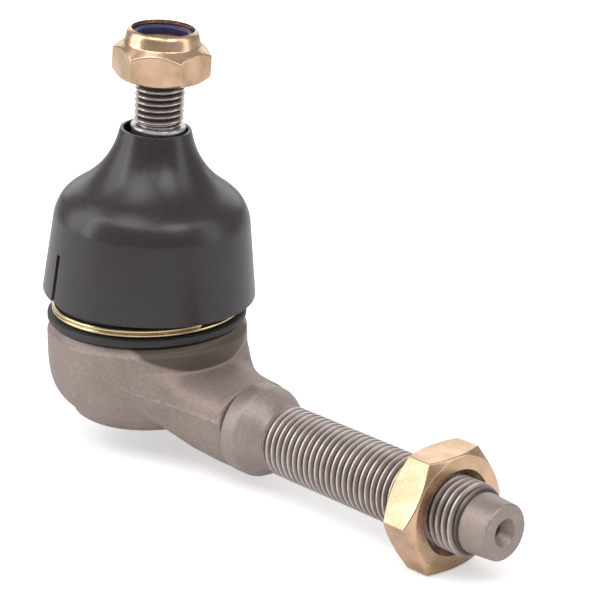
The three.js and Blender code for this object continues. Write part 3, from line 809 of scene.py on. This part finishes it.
def lip_ring_point(around, along):
    """A plain closed hoop about the stud, measured from the ball's centre."""
    angle, azimuth = 2 * math.pi * around, 2 * math.pi * along
    radius = upper_ring_radius + upper_ring_wire * math.cos(angle)
    height = upper_ring_height - ball_centre.z / MM + upper_ring_wire * math.sin(angle)
    return radius * math.cos(azimuth), radius * math.sin(azimuth), height


upper_ring = wrapped("boot_lip_ring", 16, 120, lip_ring_point)
place_at(upper_ring, ball_centre, stud_axis)
finish_piece(upper_ring, "collar", spring_steel, angle=60, replaces=["boot_upper_ring"])


# ---- Protective cap ----
# A thin injection-moulded black cap shields the boot and stud in transit. It has a narrow mouth,
# a hollow neck and a conical skirt with one slit, and it sits loose, leaning with the stud.
cap_axis = joints["cap_lift"]["axis"]
cap_foot, cap_mouth = 25.5, 59.5
cap_outside = [
    (21.5, cap_foot, 0.12), (19.65, 41.5, 0.4), (19.2, 43.0, 0.8), (18.2, 45.0, 1.0), (16.5, 46.6, 1.4),
    (13.9, 48.3, 1.6), (11.6, 50.4, 1.8), (9.9, 52.5, 1.8), (8.6, 54.7, 1.6), (7.7, 57.0, 1.2),
    (7.05, cap_mouth, 0.1)]
cap_inside = [
    (6.4, cap_mouth, 0.1), (7.05, 57.0, 1.2), (8.0, 54.5, 1.6), (9.3, 52.2, 1.8), (11.1, 50.0, 1.8),
    (13.5, 47.8, 1.6), (16.1, 46.0, 1.4), (17.6, 44.5, 1.0), (18.55, 42.7, 0.8), (19.0, 41.4, 0.4),
    (20.85, cap_foot, 0.12)]
cap = spun("cap_shell", cap_outside + cap_inside, steps=160)
slit_azimuth = math.radians(-103)
slit_width, slit_height, slit_tool_depth, slit_tool_radius = 1.3, 9.8, 10, 20.5
deselect()
bpy.ops.mesh.primitive_cube_add(size=1)
slit = bpy.context.active_object
slit.data.transform(Matrix.Rotation(slit_azimuth, 4, "Z")
                    @ Matrix.Translation((slit_tool_radius * MM, 0, cap_foot * MM))
                    @ Matrix.Diagonal((slit_tool_depth * MM, slit_width * MM, 2 * slit_height * MM, 1)))
cut(cap, slit)
cap.data.transform(Matrix.Translation((0, 0, -ball_centre.z)))
place_at(cap, ball_centre, cap_axis)
cap_plastic, cap_surface, cap_colour = new_material(
    "cap_plastic", 0.0, (0.033, 0.0265, 0.0295), (0.022, 0.0180, 0.0200), 900, 60, 0.30, 0.14, 0.06,
    edge=(0.11, 0.10, 0.105), edge_share=0.55, Specular_IOR_Level=0.55)[:3]
nodes, links = cap_plastic.node_tree.nodes, cap_plastic.node_tree.links
cap_flecks = add_effect(nodes, "flecks", Scale=2600.0, Amount=0.15)
links.new(add_mix(nodes, links, cap_flecks.outputs["Mask"], cap_colour, (0.16, 0.14, 0.13, 1)),
          cap_surface.inputs["Base Color"])
finish_piece(cap, "cap", cap_plastic, angle=35, replaces=["protective_cap"])


# ---- Nuts ----
# Both nuts are hot-formed hexagons in yellow chromated zinc, chamfered at both ends.
# The lock nut carries a blue nylon insert under a rolled collar; the jam nut locks the shank in the tie rod.
yellow_zinc, zinc_surface, zinc_colour = new_material(
    "yellow_zinc", 1.0, (0.64, 0.46, 0.29), (0.50, 0.345, 0.205), 1700, 130, 0.27, 0.16, 0.12,
    edge=(0.92, 0.78, 0.58), edge_share=0.7, hollow=(0.22, 0.14, 0.08), hollow_share=0.6)[:3]
nodes, links = yellow_zinc.node_tree.nodes, yellow_zinc.node_tree.links
# thin-film colours drift between greenish gold and pink over a few millimetres
drift = add_noise(nodes, links, nodes.new("ShaderNodeTexCoord").outputs["Object"], 150.0, 2.0, 0.5)
pinker = add_mix(nodes, links, add_range(nodes, links, drift, 0.42, 0.62), zinc_colour, (0.78, 0.52, 0.36, 1))
links.new(pinker, zinc_surface.inputs["Base Color"])


def hex_nut(name, across_flats, thickness, bore, turn, top_face, top_drop, extra=()):
    """A hexagonal nut about +Z, chamfered below and shouldered above, with a countersunk bore.
    top_face is the radius of its flat top and top_drop how far the shoulder falls to the corners.
    Extra turned solids are fused to it."""
    corner = across_flats / math.sqrt(3)
    deselect()
    bpy.ops.mesh.primitive_cylinder_add(vertices=6, radius=corner * MM, depth=thickness * MM,
                                        location=(0, 0, thickness / 2 * MM))
    nut = bpy.context.active_object
    bpy.ops.object.transform_apply(location=True)
    # the cylinder's first corner lies on +Y
    nut.data.transform(Matrix.Rotation(turn - math.pi / 2, 4, "Z"))
    face = across_flats / 2 - 0.25
    cone = (corner - face) * 0.6
    barrel = spun("barrel", [(0, 0), (face, 0), (corner + 0.02, cone), (corner + 0.02, thickness - top_drop),
                             (top_face, thickness), (0, thickness)], steps=160, closed=False)
    cut(nut, barrel, "INTERSECT")
    nut = join([nut, *extra], name)
    apply_modifier(nut, "REMESH", mode="VOXEL", voxel_size=0.13 * MM)
    apply_modifier(nut, "SMOOTH", factor=0.5, iterations=5)
    hole = spun("hole", [
        (0, -1), (bore + 1.0, -1), (bore + 1.0, 0), (bore, 0.95), (bore, thickness - 0.95),
        (bore + 1.0, thickness), (bore + 1.0, thickness + 6), (0, thickness + 6)], steps=96, closed=False)
    cut(nut, hole)
    return nut


jam_flats, jam_thickness = 22, (jam_high[0] - jam_low[0]) / MM
jam_nut = hex_nut("jam_nut_body", jam_flats, jam_thickness, thread_radius + 0.3, math.radians(30), 10.75, 1.2)
jam_nut.data.transform(
    Matrix.Translation((jam_low[0], 0, axis_height * MM)) @ Matrix.Rotation(math.pi / 2, 4, "Y"))
finish_piece(jam_nut, "shank_nut", yellow_zinc, angle=60, replaces=["jam_nut"])

lock_flats, lock_start, hex_height, collar_height = 17, 54.7, 6.9, 2.9
insert_radius, insert_bore = 6.2, 4.95
lock_top = hex_height + collar_height
lock_place = ball_centre + Vector(stud_axis) * lock_start * MM
dome = spun("dome", [
    (4, 3.4), (7.6, 3.4), (7.6, hex_height - 0.3, 0.6), (7.3, hex_height + 0.9, 0.9),
    (7.0, lock_top - 0.7, 0.9), (6.3, lock_top, 0.6), (5.5, lock_top - 0.1, 0.3),
    (5.3, lock_top - 0.6, 0.2), (6.4, lock_top - 0.8, 0.1),
    (6.4, lock_top - 2.6), (4, lock_top - 2.6)], steps=128)
lock_nut = hex_nut("lock_nut_body", lock_flats, hex_height, 5.2, math.radians(-18.4), 7.6, 1.9, [dome])
place_at(lock_nut, lock_place, stud_axis)
finish_piece(lock_nut, "stud_nut", yellow_zinc, angle=60, replaces=["lock_nut"])

nylon_blue = new_material(
    "nylon_blue", 0.0, (0.055, 0.05, 0.15), (0.035, 0.03, 0.10), 900, 120, 0.38, 0.15, 0.08,
    edge=(0.12, 0.11, 0.26), edge_share=0.3, Subsurface_Weight=0.05)[0]
insert = spun("nylon_ring", [
    (insert_bore, lock_top - 2.5, 0.1), (insert_radius, lock_top - 2.5, 0.1),
    (insert_radius, lock_top - 0.95, 0.1), (insert_bore + 0.35, lock_top - 0.95, 0.2),
    (insert_bore, lock_top - 1.25, 0.2)], steps=96)
place_at(insert, lock_place, stud_axis)
finish_piece(insert, "stud_nut", nylon_blue, angle=60, replaces=["lock_nut_insert"])


# ---- Finish ----
# The colours are written as seen, so the view adds no film curve.
bpy.context.scene.view_settings.view_transform = "Standard"
